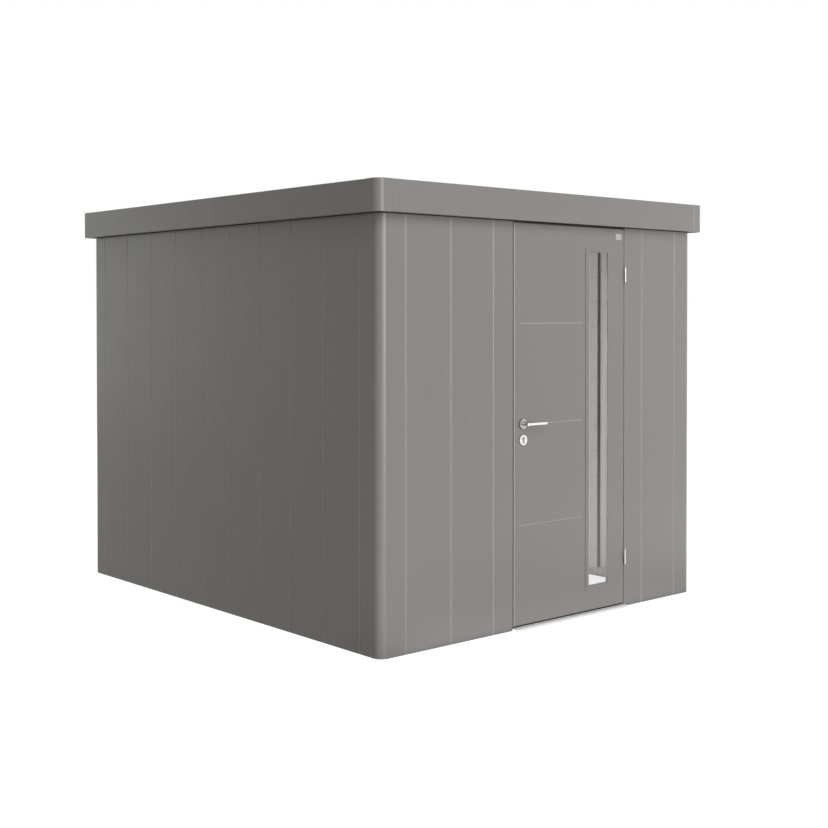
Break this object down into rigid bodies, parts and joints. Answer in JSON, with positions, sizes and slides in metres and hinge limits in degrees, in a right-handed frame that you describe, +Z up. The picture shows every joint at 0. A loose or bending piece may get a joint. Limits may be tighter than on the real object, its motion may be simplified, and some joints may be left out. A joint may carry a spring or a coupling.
{
  "type": "metal tool shed",
  "caption": "Flat-roofed walk-in garden tool shed of folded steel wall panels with rounded corners and one hinged door with a glazed light strip.",
  "frame": {"origin": "on the ground, under the middle of the shed's roof outline", "axes": "+X to the right along the front, +Y from the front wall to the back wall, +Z up"},
  "size_m": [2.36, 2.92, 2.205],
  "materials": {
    "wall_paint": "semi-gloss grey baked paint",
    "fascia_paint": "semi-gloss grey baked paint",
    "door_paint": "semi-gloss grey baked paint",
    "frame_paint": "satin grey paint on the frame behind the panels",
    "galvanised": "galvanised steel",
    "aluminium": "natural anodised",
    "steel": "brushed stainless steel",
    "lock_brass": "nickel-plated lock cylinder",
    "clear_pane": "clear acrylic pane"
  },
  "bodies": {
    "shell": {"base_rail_back": "frame_paint", "base_rail_front": "frame_paint", "base_rail_left": "frame_paint", "base_rail_right": "frame_paint", "corner_post_front_left": "wall_paint", "corner_post_front_right": "wall_paint", "corner_post_back_left": "wall_paint", "corner_post_back_right": "wall_paint", "front_panels_left": "wall_paint", "front_panels_right": "wall_paint", "left_wall_panels": "wall_paint", "right_wall_panels": "wall_paint", "back_wall_panels": "wall_paint", "door_head_panel": "wall_paint", "door_head_rail": "frame_paint", "door_post_left": "frame_paint", "door_post_right": "frame_paint", "threshold": "aluminium", "top_rails": "frame_paint", "fascia_front": "fascia_paint", "fascia_back": "fascia_paint", "fascia_left": "fascia_paint", "fascia_right": "fascia_paint", "roof_corner_cap_front_left": "fascia_paint", "roof_corner_cap_front_right": "fascia_paint", "roof_corner_cap_back_left": "fascia_paint", "roof_corner_cap_back_right": "fascia_paint", "roof_sheets": "galvanised", "roof_rafters": "galvanised", "roof_purlins": "galvanised", "roof_gutter": "galvanised", "hinge_frame_halves": "steel", "strike_plate": "steel"},
    "door": {"door_front_skin": "door_paint", "door_back_skin": "door_paint", "window_trims": "door_paint", "window_glass": "clear_pane", "door_rosettes": "steel", "lock_cylinder": "lock_brass", "lock_faceplate": "steel", "blank_plate": "aluminium", "hinge_leaf_halves": "steel"},
    "levers": {"lever_outer": "steel", "lever_inner": "steel"}
  },
  "joints": [
    {"name": "door_hinge", "type": "hinge", "parent": "shell", "child": "door", "pos_m": [0.556, -1.4185, 0], "axis": [0, 0, 1], "range_deg": [0, 110]},
    {"name": "lever_turn", "type": "hinge", "parent": "door", "child": "levers", "pos_m": [-0.217, -1.395, 1.034], "axis": [0, 1, 0], "range_deg": [0, 40], "stiffness_Nm_per_rad": 1.2, "springref_deg": -28.65}
  ]
}
